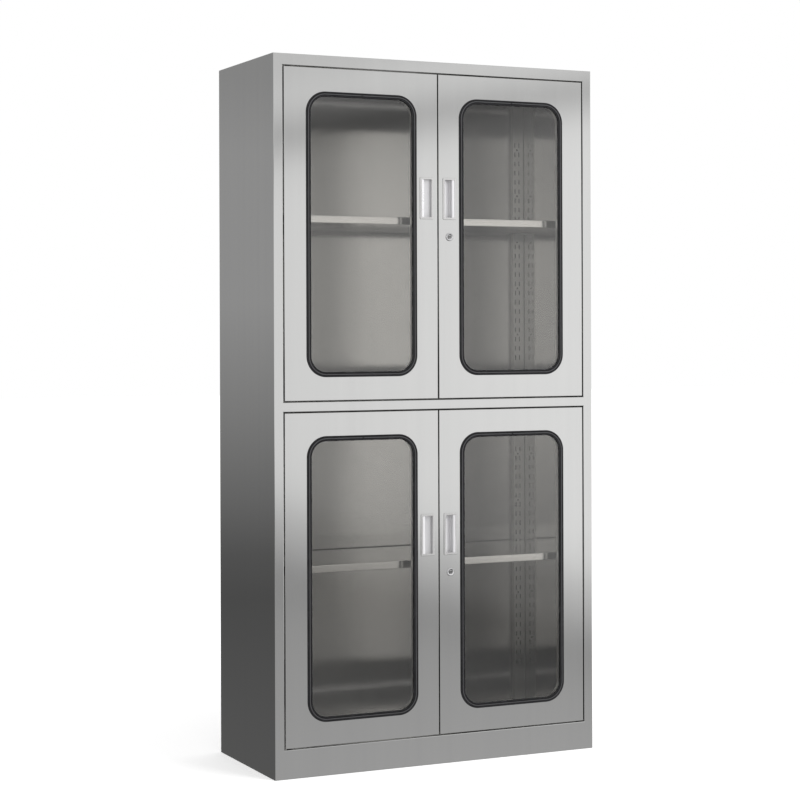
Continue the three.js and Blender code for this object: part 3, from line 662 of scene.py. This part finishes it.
def side_panel(side):
    """A side with its rear lip and front stile, and the stile's return at each of the two openings."""
    sign = SIDE_SIGN[side]
    wall = sign * (HALF_WIDTH - SKIN)
    main = [
        (sign * (HALF_WIDTH - REAR_LIP), REAR - SKIN),
        (wall, REAR - SKIN),
        (wall, FRONT + SKIN),
        (sign * RAIL_END, FRONT + SKIN),
    ]
    jamb = [
        (sign * RAIL_END, FRONT + SKIN),
        (sign * (STILE_INNER + SKIN), FRONT + SKIN),
        (sign * (STILE_INNER + SKIN), FRONT + STILE_RETURN),
    ]
    shells = [folded_panel(main, 2, (0.0, HEIGHT))]
    for opening in ((LOWER_FLOOR, LOWER_CEILING), (UPPER_FLOOR, UPPER_CEILING)):
        shells.append(folded_panel(jamb, 2, opening))
    piece(f"{side}_side", shells, steel, "steel", "cabinet", f"{side}_side_panel")


def bolt_return(level, foot):
    """The back part of a rail's return, with a round hole for the bolt of the door below it."""
    low, high = box(f"{level}_bolt")
    centre = ((low[0] + high[0]) / 2, low[1] + BOLT)
    outer = ((-RAIL_END, FRONT + RETURN_FOLD), (RAIL_END, FRONT + RAIL_RETURN))
    hole = (centre, (BOLT_HOLE, BOLT_HOLE), BOLT_HOLE)
    return level_frame_plate(EDGE_PATH, hole, outer, (foot, foot + SHEET))


def rail_line(top, foot, return_depth):
    """Middle line of a rail: from its level sheet over the front edge, down its face and back as a return."""
    return [
        (FRONT + FOLD_RUN, top - SKIN),
        (FRONT + SKIN, top - SKIN),
        (FRONT + SKIN, foot + SKIN),
        (FRONT + return_depth, foot + SKIN),
    ]


def top_panel():
    """The top sheet, which runs on to the sides and down the rear lip, and the rail folded down in front."""
    step = FRONT + FOLD_RUN
    sheet = [(step, HEIGHT - SKIN), (REAR - SKIN, HEIGHT - SKIN), (REAR - SKIN, HEIGHT - REAR_LIP)]
    inner = HALF_WIDTH - SHEET
    lip_end = HALF_WIDTH - REAR_LIP
    shells = [folded_panel(sheet, 0, (-lip_end, lip_end))]
    for sign in SIDE_SIGN.values():
        for start, depths in ((RAIL_END, (FRONT + SHEET, step)), (lip_end, (step, REAR - SHEET))):
            ends = sorted((sign * start, sign * inner))
            shells.append(plate(ends, depths, (HEIGHT - SHEET, HEIGHT)))
    piece("top_sheet", shells, steel_level, "steel", "cabinet", "top_panel")
    rail = rail_line(HEIGHT, UPPER_CEILING, RETURN_FOLD)
    face = [folded_panel(rail, 0, (-RAIL_END, RAIL_END)), bolt_return("upper", UPPER_CEILING)]
    piece("top_rail", face, steel, "steel", "cabinet", "top_panel")


def rail_panel(name, node, floor_top, foot, return_depth, more_return=()):
    """A level sheet with strips that reach the sides, and the rail below its front edge with its return."""
    level_span = (floor_top - SHEET, floor_top)
    shells = [plate((-RAIL_END, RAIL_END), (FRONT + FOLD_RUN, BACK_INNER), level_span)]
    for sign in SIDE_SIGN.values():
        ends = sorted((sign * RAIL_END, sign * (HALF_WIDTH - SHEET)))
        shells.append(plate(ends, (FRONT + STILE_RETURN, BACK_INNER), level_span))
    piece(f"{name}_sheet", shells, steel_level, "steel", "cabinet", node)
    rail = rail_line(floor_top, foot, return_depth)
    face = [folded_panel(rail, 0, (-RAIL_END, RAIL_END)), *more_return]
    piece(f"{name}_rail", face, steel, "steel", "cabinet", node)


def shelf(level):
    """A shelf folded down at the front and back, with its returns, closed by a plate at each end."""
    low, high = box(f"{level}_shelf")
    step = low[1] + FOLD_RUN
    lip = [
        (low[1] + SHELF_RETURN, low[2] + SKIN),
        (low[1] + SKIN, low[2] + SKIN),
        (low[1] + SKIN, high[2] - SKIN),
        (step, high[2] - SKIN),
    ]
    sheet = [
        (step, high[2] - SKIN),
        (high[1] - SKIN, high[2] - SKIN),
        (high[1] - SKIN, low[2] + SKIN),
        (high[1] - SHELF_RETURN, low[2] + SKIN),
    ]
    inner = high[0] - SHEET
    shells = [folded_panel(sheet, 0, (-inner, inner))]
    for sign in SIDE_SIGN.values():
        ends = sorted((sign * inner, sign * high[0]))
        shells.append(plate(ends, (low[1] + FOLD, high[1] - FOLD), (low[2], high[2])))
    piece(f"{level}_shelf_sheet", shells, steel_level, "steel", "cabinet", f"{level}_shelf")
    face = [folded_panel(lip, 0, (-inner, inner))]
    piece(f"{level}_shelf_lip", face, steel_shelf, "steel", "cabinet", f"{level}_shelf")


def column_rivets(side):
    """Round-headed rivets between a rear column's rows of slots, one to every few slots from the top down."""
    x = SIDE_SIGN[side] * (HALF_WIDTH - RIVET_INSET)
    column_face = box(f"rear_{side}_column")[0][1]
    profile = np.array(RIVET_HEAD) * (RIVET_RADIUS, 1.0) + (0.0, column_face)
    path = round_path(RIVET_STEPS)
    shells = []
    for top_slot in TOP_SLOTS:
        for step in range(RIVETS):
            z = top_slot - SLOT_PITCH / 2 - step * SLOTS_PER_RIVET * SLOT_PITCH
            shells.append(grid_shell(turned(profile, (x, z), path), wrap_columns=True))
    piece(f"rear_{side}_rivets", shells, dark_steel, "plated", "cabinet")


CORNER_PATH = round_path(CORNER_STEPS)
EDGE_PATH = round_path(FOLD_STEPS)
LATHE_PATH = round_path(LATHE_STEPS)

for side_name in SIDE_SIGN:
    side_panel(side_name)
    column_rivets(side_name)
top_panel()
middle_return = bolt_return("lower", LOWER_CEILING)
rail_panel("middle", "mid_partition", UPPER_FLOOR, LOWER_CEILING, RETURN_FOLD, [middle_return])
rail_panel("bottom", "bottom_panel", LOWER_FLOOR, 0.0, PLINTH_RETURN)
for level_name in LEVELS:
    shelf(level_name)


# Doors


def middle(node):
    """Centre of a node's box in X and Z, and half its size in X and Z."""
    low, high = box(node)
    return ((low + high) / 2)[[0, 2]], ((high - low) / 2)[[0, 2]]


def door_skin(door):
    """A pressed door face: an edge folded back all round, and flat plates round the window, the handle
    and the lock."""
    level, side = door.split("_")
    sign = SIDE_SIGN[side]
    low, high = box(f"{door}_door_skin")
    depth = high[1] - low[1]
    centre, half = middle(f"{door}_door_skin")
    edge = 2 * DOOR_FOLD
    corners = [(edge, FRONT + SKIN), (SKIN, FRONT + SKIN), (SKIN, FRONT + depth)]
    section = sheet_section(corners, DOOR_FOLD)
    rim = loops_round(EDGE_PATH, centre, half, DOOR_FOLD, section[:, 0], section[:, 1])
    shells = [ring_shell(rim)]

    inner_low, inner_high = centre - half + edge, centre + half - edge
    foot, head = inner_low[1], inner_high[1]
    free_x, hinge_x = (inner_low[0], inner_high[0]) if sign > 0 else (inner_high[0], inner_low[0])
    strip_x = free_x + sign * (STRIP - edge)
    face = (FRONT, FRONT + SHEET)
    seal_centre, seal_half = middle(f"{door}_seal")
    window = (seal_centre, seal_half - SEAL_COVER, SEAL_RADIUS - SEAL_COVER)
    left, right = sorted((strip_x, hinge_x))
    shells.append(frame_plate(CORNER_PATH, window, ((left, foot), (right, head)), face))

    handle_centre, handle_half = middle(f"{door}_handle")
    cup = (handle_centre, handle_half - HANDLE_RIM + HANDLE_WALL, CUP_RADIUS)
    left, right = sorted((free_x, strip_x))
    if side == "right":
        lock_centre = middle(f"{level}_lock_barrel")[0]
        split = (lock_centre[1] + handle_centre[1] - handle_half[1]) / 2
        hole = (lock_centre, (LOCK_HOLE, LOCK_HOLE), LOCK_HOLE)
        shells.append(frame_plate(LATHE_PATH, hole, ((left, foot), (right, split)), face))
        foot = split
    shells.append(frame_plate(EDGE_PATH, cup, ((left, foot), (right, head)), face))
    piece(f"{door}_face", shells, steel, "steel", f"{door}_door", f"{door}_door_skin")


def door_liner(door):
    """The door's inner sheet: a flat back with a flange round its edge, and a collar folded in round the
    window."""
    back = box(f"{door}_door_liner")[1][1]
    centre, half = middle(f"{door}_door_liner")
    edge = 2 * FOLD
    flange = sheet_section([(edge, back - SKIN), (SKIN, back - SKIN), (SKIN, back - LINER_FLANGE)])
    rim = loops_round(EDGE_PATH, centre, half, FOLD, flange[:, 0], flange[:, 1])
    seal_centre, seal_half = middle(f"{door}_seal")
    collar = sheet_section([
        (COLLAR_INSET - edge, back - SKIN),
        (COLLAR_INSET, back - SKIN),
        (COLLAR_INSET, FRONT + COLLAR_FRONT),
    ])
    ring = loops_round(CORNER_PATH, seal_centre, seal_half, SEAL_RADIUS, collar[:, 0], collar[:, 1])
    window = (seal_centre, seal_half - COLLAR_INSET + edge, SEAL_RADIUS - COLLAR_INSET + edge)
    outer = (centre - half + edge, centre + half - edge)
    flat = frame_plate(CORNER_PATH, window, outer, (back - SHEET, back))
    shells = [ring_shell(rim), ring_shell(ring), flat]
    piece(f"{door}_lining", shells, steel_lining, "steel", f"{door}_door", f"{door}_door_liner")


def seal_section():
    """Section of the glazing rubber as (inset, depth): two round beads in front with a filler strip between
    them, then the groove that holds the glass, the lip behind it, and the groove that grips the steel.

    Each bead's height above the bottom of the grooves follows a power of the sine across its width.
    """
    width, height = np.array((SEAL_BEAD, SEAL_FILLER, SEAL_BEAD)).T
    angle = np.linspace(np.pi, 0, BEAD_STEPS + 1)
    across = (np.cumsum(width) - width)[:, None] + width[:, None] / 2 * (1 + np.cos(angle))
    rise = SEAL_GROOVE + (height[:, None] - SEAL_GROOVE) * np.sin(angle) ** BEAD_POWER
    beads = np.stack([across, -rise], axis=-1)
    front = np.concatenate([beads[0], beads[1:, 1:].reshape(-1, 2)])
    inner = width.sum()
    behind = [
        (inner, PANE_GROOVE[0]),
        (PANE_SEAT, PANE_GROOVE[0]),
        (PANE_SEAT, PANE_GROOVE[1]),
        (inner - LIP_BEVEL, PANE_GROOVE[1]),
        (inner, PANE_GROOVE[1] + LIP_BEVEL),
        (inner - LIP_BEVEL, PANE_LIP),
        (LIP_ROOT, PANE_LIP),
        (LIP_ROOT, SKIN_LIP[1]),
        SKIN_LIP,
        (SKIN_LIP[0], SKIN_GROOVE),
        (SKIN_SEAT, SKIN_GROOVE),
        (SKIN_SEAT, 0.0),
        (0.0, 0.0),
    ]
    return np.concatenate([front, behind])


def glazing_seal(door):
    """The rubber section carried round the window, with a notch in front where its ends meet at the top.

    Near the joint the height in front of the face shrinks by a bell curve of the distance along the top.
    """
    centre, half = middle(f"{door}_seal")
    stations = np.array(JOINT_STATIONS) * JOINT_WIDTH / (half[0] - SEAL_RADIUS)
    path = round_path(CORNER_STEPS, stations)
    section = seal_section()
    points = loops_round(path, centre, half, SEAL_RADIUS, section[:, 0], FRONT + section[:, 1])
    at_top = points[..., 2] > centre[1]
    along = (points[..., 0] - centre[0]) / JOINT_WIDTH
    dip = np.where(at_top, JOINT_DEPTH * np.exp(-along ** 2), 0.0)
    proud = np.minimum(points[..., 1] - FRONT, 0.0)
    points[..., 1] -= proud * dip
    piece(f"{door}_rubber", [ring_shell(points)], rubber, "rubber", f"{door}_door", f"{door}_seal")


def pull_handle(door):
    """A flush pull: a rim with rounded edges, and a bent sheet in it. The sheet slopes in from the hinge side
    as a lip, then steps down to the floor of the finger recess, which rises to the other side."""
    sign = SIDE_SIGN[door.split("_")[1]]
    centre, half = middle(f"{door}_handle")
    top = box(f"{door}_handle")[0][1]
    floor_front = FRONT + HANDLE_RECESS
    floor_middle = floor_front + HANDLE_WALL / 2
    wall_outer = HANDLE_RIM - HANDLE_WALL
    corners = [
        (HANDLE_RIM, floor_front + HANDLE_WALL),
        (HANDLE_RIM, top),
        (0.0, top),
        (0.0, FRONT),
        (wall_outer, FRONT),
        (wall_outer, floor_front + HANDLE_WALL),
    ]
    section = folded_line(corners, [HANDLE_EDGE, HANDLE_EDGE, 0.0, 0.0])[0]
    rim = loops_round(EDGE_PATH, centre, half, HANDLE_RADIUS, section[:, 0], section[:, 1])
    piece(f"{door}_pull_rim", [ring_shell(rim)], nickel, "nickel", f"{door}_door", f"{door}_handle")

    inner_x, inner_z = half - HANDLE_RIM
    hinge_side = centre[0] + sign * inner_x
    free_side = centre[0] - sign * inner_x
    lip_end = hinge_side - sign * HANDLE_LIP
    bent = [
        (hinge_side, top + HANDLE_EDGE),
        (lip_end, top + HANDLE_LIP_DROP),
        (lip_end, floor_middle),
        (free_side, floor_middle - HANDLE_RAMP),
    ]
    span = (centre[1] - inner_z, centre[1] + inner_z)
    pan = folded_panel(bent, 2, span, HANDLE_WALL, [HANDLE_EDGE, HANDLE_FLOOR])
    piece(f"{door}_pull_pan", [pan], lit_pan_nickel, "nickel", f"{door}_door", f"{door}_handle")


def cam_lock(level):
    """A lock barrel with a dished flange, and its plug with a key slot: the face runs from the slot's outline
    out to the plug's circle, and the slot's walls run down to a floor that closes along a line. A dark
    plate of painted shade stands in the slot, a little below the face, so that the keyway reads dark."""
    centre, half = middle(f"{level}_lock_barrel")
    low, high = box(f"{level}_lock_barrel")
    top, end = low[1], high[1]
    flange = half[0]
    barrel = [
        (LOCK_BORE, top + LOCK_DISH),
        *[(flange - inset, top + drop) for inset, drop in LOCK_CREST],
        (flange, FRONT),
        (LOCK_BODY, FRONT),
        (LOCK_BODY, end),
        (LOCK_BORE, end),
    ]
    case = ring_shell(turned(barrel, centre, LATHE_PATH))
    piece(f"{level}_lock_case", [case], chrome, "chrome", f"{level}_right_door", f"{level}_lock_barrel")

    plug_low, plug_high = box(f"{level}_lock_plug")
    face = plug_low[1] + PLUG_DROP
    slot_floor = face + KEY_SLOT_DEPTH
    half_x, half_z = KEY_SLOT_HALF
    insets, depths = [half_z, 0.0, 0.0], [slot_floor, slot_floor, face]
    slot = loops_round(LATHE_PATH, centre, KEY_SLOT_HALF, KEY_SLOT_RADIUS, insets, depths)
    stem = [
        (PLUG - PLUG_BEVEL, face),
        (PLUG, face + PLUG_BEVEL),
        (PLUG, end),
        (TAIL, end),
        (TAIL, plug_high[1]),
        (0.0, plug_high[1]),
    ]
    plug = grid_shell(np.concatenate([slot, turned(stem, centre, LATHE_PATH)]), wrap_columns=True)
    piece(f"{level}_lock_key_plug", [plug], plug_metal, "chrome", f"{level}_lock", f"{level}_lock_plug")

    # A dark plate in the key slot: painted shade for the keyway
    x, z = centre
    keyway_shade = plate((x - half_x, x + half_x), (face + KEYWAY_SHADE_DROP, slot_floor), (z - half_z, z + half_z))
    piece(f"{level}_lock_keyway_shade", [keyway_shade], dark_steel, "plated", f"{level}_lock")


for door_name in DOORS:
    door_skin(door_name)
    door_liner(door_name)
    glazing_seal(door_name)
    pull_handle(door_name)
for level_name in LEVELS:
    cam_lock(level_name)

# Finishes of the frame nodes that stay in view, by the last word of their names
FINISHES = {
    "glass": glass,
    "panel": steel_back,
    "column": steel_column,
    "clip": plated,
    "pivot": dark_steel,
    "nut": plated,
    "cam": plated,
    "guide": plated,
    "bolt": nickel,
}
for node_name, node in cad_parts.items():
    kind = node_name.split("_")[-1]
    if kind in FINISHES:
        for material_slot in node.material_slots:
            material_slot.material = FINISHES[kind]

# Room: a plain floor, a lamp and one soft surround

FLOOR_HALF = 30.0
FLOOR_TONE = (0.9, 0.9, 0.9, 1)
FLOOR_ROUGH = 0.9
FLOOR_LIFT = 0.3  # what the floor adds of its own where it is seen straight, so that it is white
LAMP_PLACE = (2.0, -3.5, 3.2)
LAMP_SIZE = 2.5
LAMP_POWER = 120
PLAIN_LEVEL = 0.9  # what lights the rubber and the floor, beside the lamp
WHITE = (1, 1, 1, 1)

# Levels of the studio by height, as (sine of the height, level)
FRONT_LOW = (
    (-0.9, 0.12), (-0.6, 0.34), (-0.4, 0.52), (-0.2, 0.50), (-0.139, 0.44),
    (-0.117, 0.33), (-0.101, 0.60), (-0.090, 0.67), (-0.078, 0.95), (-0.06, 1.0),
)
FRONT_HIGH = (
    (0.061, 1.0), (0.0785, 0.96), (0.086, 0.78), (0.094, 0.53),
    (0.097, 0.53), (0.105, 0.80), (0.115, 0.925), (0.122, 0.80),
)
BEHIND = (
    (-0.9, 0.20), (-0.6, 0.40), (-0.4, 0.36), (-0.24, 0.13), (-0.18, 0.117), (-0.125, 0.096),
    (-0.105, 0.115), (-0.081, 0.175), (-0.033, 0.28), (0.014, 0.37), (0.086, 0.37), (0.122, 0.325),
)
KEY_WAY = (0.42, -0.91, 0.0)  # the bright side of the surround lies in front, to the right
KEY_SPAN = (-0.2, 0.75)  # from behind to in front, along that way
TILT_SPAN = (0.25, 0.6)  # sideways parts of the direction between which the heights in front tilt
TILT_MIDDLE = 0.368  # sideways part at which they hold as they are
LOW_TILT = -0.262  # how much lower the low levels lie, for each step sideways
HIGH_TILT = 0.16
RISE_SPAN = (0.36, 0.5)  # sideways parts between which the front brightens to the right
RISE_LEVELS = (0.92, 1.08)


def studio_level(tree):
    """Brightness of the studio by direction: bright in front, dim behind, and less below the horizon."""
    way = add(tree, "ShaderNodeTexCoord").outputs["Generated"]
    facing = add(tree, "ShaderNodeVectorMath", operation="DOT_PRODUCT")
    tree.links.new(way, facing.inputs[0])
    facing.inputs[1].default_value = KEY_WAY
    part = split_axes(tree, way)
    rise = part["Z"]
    sideways = ramp(tree, part["X"], TILT_SPAN, [end - TILT_MIDDLE for end in TILT_SPAN], smooth=False)
    low = math_node(tree, "SUBTRACT", rise, times(tree, sideways, LOW_TILT))
    high = math_node(tree, "SUBTRACT", rise, times(tree, sideways, HIGH_TILT))
    front = times(tree, levels(tree, low, FRONT_LOW), levels(tree, high, FRONT_HIGH))
    front = times(tree, front, ramp(tree, part["X"], RISE_SPAN, RISE_LEVELS, smooth=False))
    share = ramp(tree, facing.outputs["Value"], KEY_SPAN, WHOLE)
    from_behind = times(tree, levels(tree, rise, BEHIND), math_node(tree, "SUBTRACT", 1.0, share))
    return plus(tree, times(tree, front, share), from_behind)


def pick_shader(tree, share, first, second):
    """The first shader where the share is 0, and the second where it is 1."""
    node = add(tree, "ShaderNodeMixShader")
    for socket, value in zip(node.inputs, (share, first.outputs[0], second.outputs[0])):
        tree.links.new(value, socket)
    return node


def surround():
    """A plain studio all round. What is seen straight or through glass is white. What the metal mirrors is
    the studio."""
    world = bpy.data.worlds.new("studio")
    bpy.context.scene.world = world
    world.use_nodes = True
    tree = world.node_tree
    tree.nodes.clear()
    studio, plain, white = [add(tree, "ShaderNodeBackground") for _ in range(3)]
    for light in (studio, plain, white):
        light.inputs["Color"].default_value = WHITE
    tree.links.new(studio_level(tree), studio.inputs["Strength"])
    plain.inputs["Strength"].default_value = PLAIN_LEVEL
    white.inputs["Strength"].default_value = 1.0
    path = add(tree, "ShaderNodeLightPath")
    mirrored = math_node(tree, "GREATER_THAN", path.outputs["Glossy Depth"], 0.5)
    scattered = math_node(tree, "GREATER_THAN", path.outputs["Diffuse Depth"], 0.5)
    straight = math_node(tree, "LESS_THAN", plus(tree, mirrored, scattered), 0.5)
    shown = pick_shader(tree, straight, pick_shader(tree, mirrored, plain, studio), white)
    tree.links.new(shown.outputs[0], add(tree, "ShaderNodeOutputWorld").inputs["Surface"])


def floor():
    """A wide plain floor at the foot of the cabinet, which takes its shadow."""
    corners = np.array([(-1, -1, 0), (1, -1, 0), (1, 1, 0), (-1, 1, 0)], float) * FLOOR_HALF
    mesh = bpy.data.meshes.new("floor")
    mesh.from_pydata(corners.tolist(), [], [(0, 1, 2, 3)])
    material, tree, shader, _ = new_material("pale_floor")
    shader.inputs["Base Color"].default_value = FLOOR_TONE
    shader.inputs["Roughness"].default_value = FLOOR_ROUGH
    shader.inputs["Specular IOR Level"].default_value = 0.0
    shader.inputs["Emission Color"].default_value = WHITE
    seen = add(tree, "ShaderNodeLightPath").outputs["Is Camera Ray"]
    tree.links.new(times(tree, seen, FLOOR_LIFT), shader.inputs["Emission Strength"])
    mesh.materials.append(material)
    ground = bpy.data.objects.new("floor", mesh)
    bpy.context.scene.collection.objects.link(ground)
    ground.visible_glossy = False
    ground.visible_transmission = False


def soft_lamp():
    """A large square lamp that faces the middle of the cabinet."""
    lamp = bpy.data.lights.new("key_lamp", "AREA")
    lamp.size = LAMP_SIZE
    lamp.energy = LAMP_POWER
    thing = bpy.data.objects.new("key_lamp", lamp)
    bpy.context.scene.collection.objects.link(thing)
    x, y, z = np.array([0.0, 0.0, HEIGHT / 2]) - LAMP_PLACE
    tilt = math.pi / 2 + math.atan2(z, math.hypot(x, y))
    turn = math.atan2(y, x) - math.pi / 2
    thing.location = LAMP_PLACE
    thing.rotation_euler = (tilt, 0.0, turn)
    thing.visible_glossy = False
    thing.visible_transmission = False


surround()
floor()
soft_lamp()

# Camera: the photograph's frame is square

CAMERA_PLACE = (-2.2944, -5.0345, 1.1072)
CAMERA_TURN = (90.066, 0.188, -26.245)
CAMERA_LENS = 93.86
CAMERA_SHIFT = (-0.0873, -0.0879)

lens = bpy.data.cameras.new("camera")
lens.lens = CAMERA_LENS
lens.shift_x, lens.shift_y = CAMERA_SHIFT
camera = bpy.data.objects.new("camera", lens)
camera.location = CAMERA_PLACE
camera.rotation_euler = [math.radians(angle) for angle in CAMERA_TURN]
bpy.context.scene.collection.objects.link(camera)
bpy.context.scene.camera = camera
bpy.context.scene.view_settings.view_transform = "Standard"
